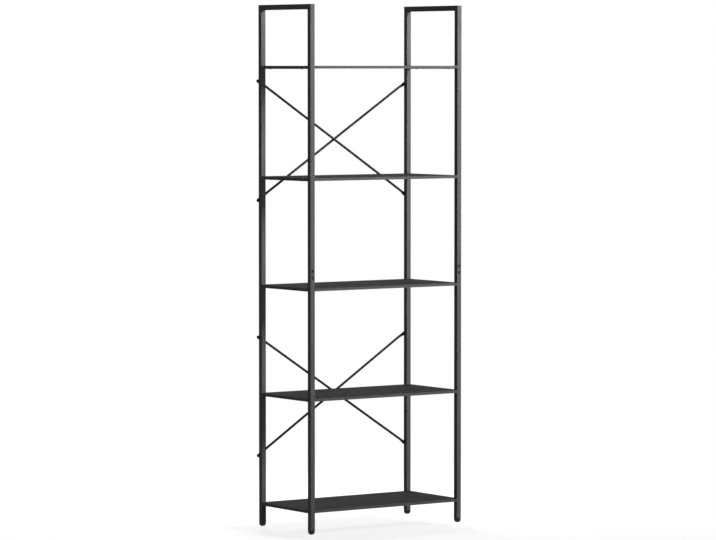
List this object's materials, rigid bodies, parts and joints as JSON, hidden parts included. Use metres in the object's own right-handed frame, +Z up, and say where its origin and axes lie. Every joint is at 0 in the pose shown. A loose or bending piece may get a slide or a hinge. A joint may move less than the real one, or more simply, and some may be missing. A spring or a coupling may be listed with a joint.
{
  "type": "industrial bookcase",
  "caption": "Tall open bookcase: slim square-tube side frames joined by notched boards, with crossed rods bracing the back, raised top bars and levelling feet.",
  "frame": {"origin": "on the floor, at the middle of the four posts' footprint", "axes": "+X to the right seen from the front, +Y to the back, +Z up"},
  "size_m": [0.6124, 0.3123, 1.7],
  "materials": {
    "frame_paint": "satin black powder coat",
    "rod_enamel": "black enamel",
    "shelf_laminate": "black woodgrain laminate on board",
    "edge_band": "black edge band",
    "foot_plastic": "moulded black plastic",
    "screw_black": "black oxide",
    "zinc_steel": "bright zinc"
  },
  "bodies": {
    "frame": {"left_front_lower_post": "frame_paint", "left_front_upper_post": "frame_paint", "left_front_splice_sleeve": "zinc_steel", "left_front_foot_insert": "foot_plastic", "left_rear_lower_post": "frame_paint", "left_rear_upper_post": "frame_paint", "left_rear_splice_sleeve": "zinc_steel", "left_rear_foot_insert": "foot_plastic", "right_front_lower_post": "frame_paint", "right_front_upper_post": "frame_paint", "right_front_splice_sleeve": "zinc_steel", "right_front_foot_insert": "foot_plastic", "right_rear_lower_post": "frame_paint", "right_rear_upper_post": "frame_paint", "right_rear_splice_sleeve": "zinc_steel", "right_rear_foot_insert": "foot_plastic", "splice_screws": "screw_black", "left_top_bar": "frame_paint", "left_shelf_rail_1": "frame_paint", "left_shelf_rail_2": "frame_paint", "left_shelf_rail_3": "frame_paint", "left_shelf_rail_4": "frame_paint", "left_shelf_rail_5": "frame_paint", "right_top_bar": "frame_paint", "right_shelf_rail_1": "frame_paint", "right_shelf_rail_2": "frame_paint", "right_shelf_rail_3": "frame_paint", "right_shelf_rail_4": "frame_paint", "right_shelf_rail_5": "frame_paint", "shelf_board_1": "shelf_laminate", "shelf_board_2": "shelf_laminate", "shelf_board_3": "shelf_laminate", "shelf_board_4": "shelf_laminate", "shelf_board_5": "shelf_laminate", "front_edge_bands": "edge_band", "rear_edge_bands": "edge_band", "shelf_screws": "screw_black", "upper_brace_front": "rod_enamel", "upper_brace_rear": "rod_enamel", "lower_brace_front": "rod_enamel", "lower_brace_rear": "rod_enamel", "brace_rivet_nuts": "zinc_steel", "brace_washers": "screw_black", "brace_bolts": "screw_black"},
    "left_front_stud": {"left_front_foot_stud": "zinc_steel"},
    "left_front_pad": {"left_front_foot_pad": "foot_plastic"},
    "left_rear_stud": {"left_rear_foot_stud": "zinc_steel"},
    "left_rear_pad": {"left_rear_foot_pad": "foot_plastic"},
    "right_front_stud": {"right_front_foot_stud": "zinc_steel"},
    "right_front_pad": {"right_front_foot_pad": "foot_plastic"},
    "right_rear_stud": {"right_rear_foot_stud": "zinc_steel"},
    "right_rear_pad": {"right_rear_foot_pad": "foot_plastic"}
  },
  "joints": [
    {"name": "left_front_foot_travel", "type": "slide", "parent": "frame", "child": "left_front_stud", "axis": [0, 0, -1], "range_m": [0, 0.01]},
    {"name": "left_front_foot_turn", "type": "hinge", "parent": "left_front_stud", "child": "left_front_pad", "pos_m": [-0.2915, -0.1415, 0.012], "axis": [0, 0, -1], "range_deg": [0, 3600]},
    {"name": "left_rear_foot_travel", "type": "slide", "parent": "frame", "child": "left_rear_stud", "axis": [0, 0, -1], "range_m": [0, 0.01]},
    {"name": "left_rear_foot_turn", "type": "hinge", "parent": "left_rear_stud", "child": "left_rear_pad", "pos_m": [-0.2915, 0.1415, 0.012], "axis": [0, 0, -1], "range_deg": [0, 3600]},
    {"name": "right_front_foot_travel", "type": "slide", "parent": "frame", "child": "right_front_stud", "axis": [0, 0, -1], "range_m": [0, 0.01]},
    {"name": "right_front_foot_turn", "type": "hinge", "parent": "right_front_stud", "child": "right_front_pad", "pos_m": [0.2915, -0.1415, 0.012], "axis": [0, 0, -1], "range_deg": [0, 3600]},
    {"name": "right_rear_foot_travel", "type": "slide", "parent": "frame", "child": "right_rear_stud", "axis": [0, 0, -1], "range_m": [0, 0.01]},
    {"name": "right_rear_foot_turn", "type": "hinge", "parent": "right_rear_stud", "child": "right_rear_pad", "pos_m": [0.2915, 0.1415, 0.012], "axis": [0, 0, -1], "range_deg": [0, 3600]}
  ],
  "couplings": [
    {"joint": "left_front_foot_turn", "follows": "left_front_foot_travel", "rad_per_m": 6283.2},
    {"joint": "left_rear_foot_turn", "follows": "left_rear_foot_travel", "rad_per_m": 6283.2},
    {"joint": "right_front_foot_turn", "follows": "right_front_foot_travel", "rad_per_m": 6283.2},
    {"joint": "right_rear_foot_turn", "follows": "right_rear_foot_travel", "rad_per_m": 6283.2}
  ]
}
